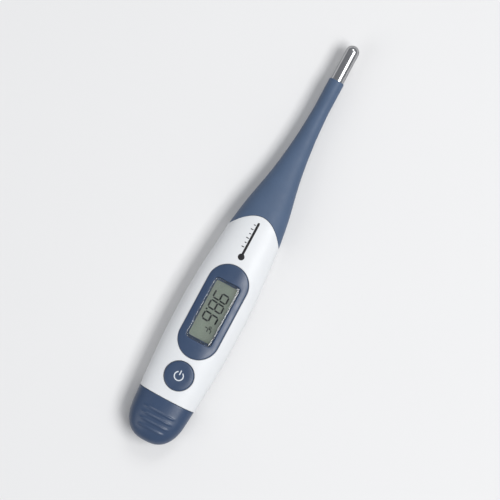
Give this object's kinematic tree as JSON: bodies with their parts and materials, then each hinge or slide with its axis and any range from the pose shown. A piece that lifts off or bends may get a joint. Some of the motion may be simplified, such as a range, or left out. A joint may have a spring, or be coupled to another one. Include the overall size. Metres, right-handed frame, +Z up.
{
  "type": "digital stick thermometer",
  "caption": "Slim pen-shaped digital thermometer with a metal tip, a soft bendable neck flaring into a white housing, a round-ended display and a pull-off battery cover.",
  "frame": {"origin": "on the resting surface, under the middle of the bounding box", "axes": "+X along the body towards the metal tip, +Y across, +Z up out of the display"},
  "size_m": [0.134, 0.0206, 0.0121],
  "materials": {
    "slate_elastomer": "matte, very fine grain",
    "slate_plastic": "satin",
    "white_plastic": "satin",
    "stainless_steel": "polished, faint drawing lines",
    "clear_lens": "clear acrylic",
    "display_glass": "grey-green liquid crystal cell",
    "reflector_film": "satin film",
    "board_green": "solder mask",
    "black_epoxy": "moulded",
    "amber_epoxy": "cast",
    "ceramic": "fired",
    "brass": "plain",
    "nickel_plate": "nickel plated",
    "dark_rubber": "matte",
    "zebra_rubber": "matte, layered",
    "red_insulation": "extruded",
    "white_insulation": "extruded",
    "natural_nylon": "moulded"
  },
  "bodies": {
    "housing": {"battery_can": "stainless_steel", "battery_cap": "nickel_plate", "battery_contact_negative": "nickel_plate", "battery_contact_positive": "nickel_plate", "battery_gasket": "natural_nylon", "buzzer_ceramic": "ceramic", "buzzer_plate": "brass", "buzzer_spring_1": "nickel_plate", "buzzer_spring_2": "nickel_plate", "chassis": "natural_nylon", "chip_glob": "black_epoxy", "circuit_board": "board_green", "display_bezel": "slate_plastic", "display_lens": "clear_lens", "front_shell": "white_plastic", "lcd_frame": "natural_nylon", "lcd_front_glass": "display_glass", "lcd_rear_glass": "display_glass", "lcd_reflector": "reflector_film", "lead_wire_a": "red_insulation", "lead_wire_b": "white_insulation", "neck_insert": "white_plastic", "neck_skirt": "slate_elastomer", "rear_shell": "white_plastic", "smd_capacitor_1": "ceramic", "smd_capacitor_2": "ceramic", "smd_resistor_1": "black_epoxy", "smd_resistor_2": "black_epoxy", "switch_body": "black_epoxy", "switch_plate": "nickel_plate", "zebra_strip_left": "zebra_rubber", "zebra_strip_right": "zebra_rubber"},
    "button": {"power_button": "slate_plastic"},
    "plunger": {"switch_plunger": "natural_nylon"},
    "cover": {"battery_cover": "slate_plastic", "cover_seal": "dark_rubber"},
    "neck_1": {"neck_ring_1": "slate_elastomer"},
    "neck_2": {"neck_ring_2": "slate_elastomer"},
    "neck_3": {"neck_ring_3": "slate_elastomer"},
    "neck_4": {"neck_ring_4": "slate_elastomer"},
    "neck_5": {"neck_ring_5": "slate_elastomer"},
    "probe": {"neck_collar": "slate_elastomer", "probe_tip_cap": "stainless_steel", "thermistor_bead": "black_epoxy", "tip_potting": "amber_epoxy"}
  },
  "joints": [
    {"name": "neck_pitch_1", "type": "hinge", "parent": "housing", "child": "neck_1", "pos_m": [0.028, 0, 0.0056], "axis": [0, -1, 0], "range_deg": [0, 10.5], "stiffness_Nm_per_rad": 0.03, "deforming": ["lead_wire_a", "lead_wire_b"]},
    {"name": "neck_yaw_1", "type": "hinge", "parent": "neck_1", "child": "neck_2", "pos_m": [0.032, 0, 0.0056], "axis": [0, 0, 1], "range_deg": [-11, 11], "stiffness_Nm_per_rad": 0.03, "deforming": ["lead_wire_a", "lead_wire_b"]},
    {"name": "neck_pitch_2", "type": "hinge", "parent": "neck_2", "child": "neck_3", "pos_m": [0.036, 0, 0.0056], "axis": [0, -1, 0], "range_deg": [0, 10.5], "deforming": ["lead_wire_a", "lead_wire_b"]},
    {"name": "neck_yaw_2", "type": "hinge", "parent": "neck_3", "child": "neck_4", "pos_m": [0.04, 0, 0.0056], "axis": [0, 0, 1], "range_deg": [-11, 11], "deforming": ["lead_wire_a", "lead_wire_b"]},
    {"name": "neck_pitch_3", "type": "hinge", "parent": "neck_4", "child": "neck_5", "pos_m": [0.044, 0, 0.0056], "axis": [0, -1, 0], "range_deg": [0, 10.5], "deforming": ["lead_wire_a", "lead_wire_b"]},
    {"name": "neck_yaw_3", "type": "hinge", "parent": "neck_5", "child": "probe", "pos_m": [0.048, 0, 0.0056], "axis": [0, 0, 1], "range_deg": [-11, 11], "deforming": ["lead_wire_a", "lead_wire_b"]},
    {"name": "button_press", "type": "slide", "parent": "housing", "child": "button", "axis": [0, 0, -1], "range_m": [0, 0.0005], "stiffness_N_per_m": 600},
    {"name": "plunger_press", "type": "slide", "parent": "housing", "child": "plunger", "axis": [0, 0, -1], "range_m": [0, 0.0005]},
    {"name": "cover_pull", "type": "slide", "parent": "housing", "child": "cover", "axis": [-1, 0, 0], "range_m": [0, 0.016]}
  ],
  "couplings": [
    {"joint": "neck_pitch_2", "follows": "neck_pitch_1", "ratio": 1},
    {"joint": "neck_pitch_3", "follows": "neck_pitch_1", "ratio": 1},
    {"joint": "neck_yaw_2", "follows": "neck_yaw_1", "ratio": 1},
    {"joint": "neck_yaw_3", "follows": "neck_yaw_1", "ratio": 1},
    {"joint": "plunger_press", "follows": "button_press", "ratio": 1}
  ]
}
